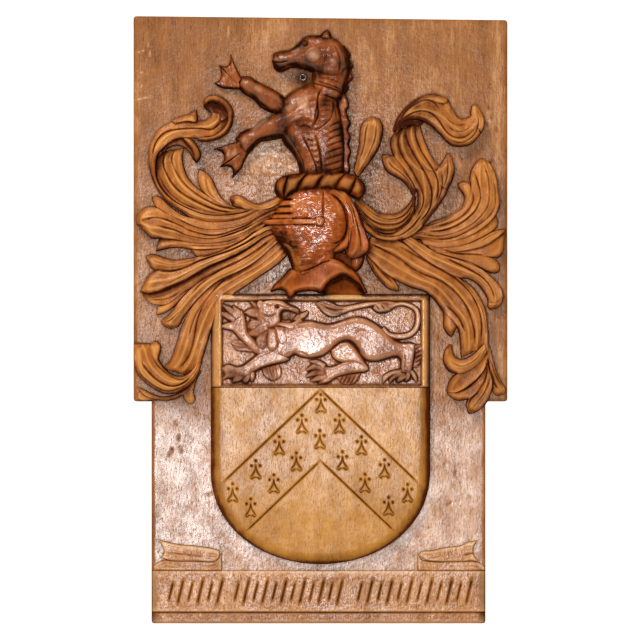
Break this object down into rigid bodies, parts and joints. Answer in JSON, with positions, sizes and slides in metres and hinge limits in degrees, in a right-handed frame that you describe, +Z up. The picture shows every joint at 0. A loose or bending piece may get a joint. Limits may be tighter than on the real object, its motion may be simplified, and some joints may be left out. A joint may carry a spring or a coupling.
{
  "type": "carved heraldic wall panel",
  "caption": "Carved wooden wall panel with a helmet, animal crest, leafy mantling, a lion above a chevron on a shield, and a motto band.",
  "frame": {"origin": "on the flat back face, at the middle of the width and 600 mm above the lower edge, where the panel hangs on a wall", "axes": "+X to the viewer's right, +Y into the wall, so the carving faces -Y, +Z up"},
  "size_m": [0.5012, 0.0688, 0.814],
  "materials": {
    "carved_wood": "stained and varnished, dark in the hollows",
    "steel": "dull steel wire"
  },
  "bodies": {
    "root": {"carved_panel": "carved_wood", "collar_ring": "steel"}
  },
  "joints": []
}
